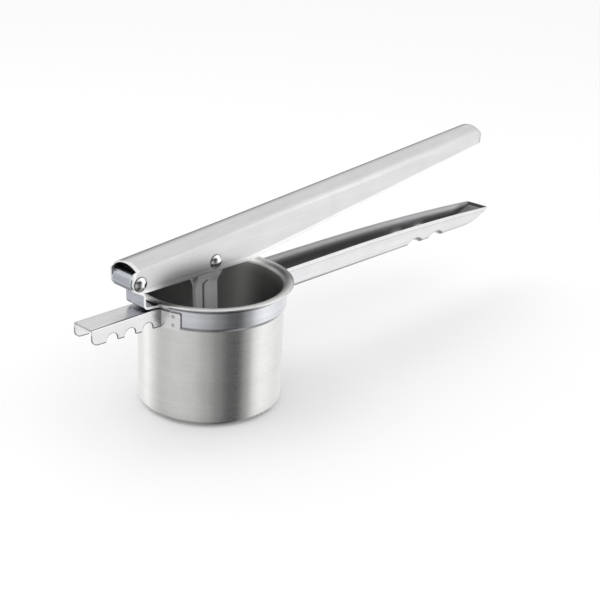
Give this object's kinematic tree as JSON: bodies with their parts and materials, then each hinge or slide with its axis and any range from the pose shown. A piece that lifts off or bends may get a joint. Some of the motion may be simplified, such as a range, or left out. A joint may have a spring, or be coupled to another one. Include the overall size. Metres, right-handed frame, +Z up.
{
  "type": "spaetzle maker",
  "caption": "Steel spaetzle and potato press: a perforated cup with a notched pot rest, a fixed handle and a hinged lever that pushes a disc down the cup.",
  "frame": {"origin": "centre of the cup's base, where it stands", "axes": "+X towards the ends of the handles, +Z up the cup's axis, Y across, with the press the same on both sides of the XZ plane"},
  "size_m": [0.3788, 0.0988, 0.1349],
  "materials": {
    "cup_steel": "satin brushed round the wall",
    "band_steel": "satin brushed lengthwise",
    "bracket_steel": "smooth, slightly blue",
    "pot_rest_steel": "satin",
    "weld_spots": "dull, sunk spots",
    "handle_steel": "satin brushed lengthwise",
    "lever_steel": "satin brushed lengthwise",
    "polished_rivets": "polished",
    "plain_steel": "plain turned",
    "stem_steel": "satin",
    "disc_steel": "satin"
  },
  "bodies": {
    "frame": {"cup": "cup_steel", "collar_band": "band_steel", "hinge_bracket": "bracket_steel", "hook_rest": "pot_rest_steel", "hook_weld_plugs": "weld_spots", "fixed_handle": "handle_steel", "handle_weld_plugs": "weld_spots"},
    "lever": {"lever": "lever_steel", "hinge_rivet": "polished_rivets", "hinge_sleeve": "plain_steel", "hinge_washer_near": "plain_steel", "hinge_washer_far": "plain_steel", "plunger_rivet": "polished_rivets", "plunger_sleeve": "plain_steel", "plunger_washer_near": "plain_steel", "plunger_washer_far": "plain_steel"},
    "plunger": {"stem_plate_near": "stem_steel", "stem_plate_far": "stem_steel", "press_disc": "disc_steel", "disc_rivets": "polished_rivets"}
  },
  "joints": [
    {"name": "lever_hinge", "type": "hinge", "parent": "frame", "child": "lever", "pos_m": [-0.0622, 0, 0.0921], "axis": [0, -1, 0], "range_deg": [-6.2, 30]},
    {"name": "plunger_swing", "type": "hinge", "parent": "lever", "child": "plunger", "pos_m": [-0.0061, 0, 0.0921], "axis": [0, -1, 0], "range_deg": [-26, 6]}
  ],
  "couplings": [
    {"joint": "plunger_swing", "follows": "lever_hinge", "ratio": -0.86}
  ]
}
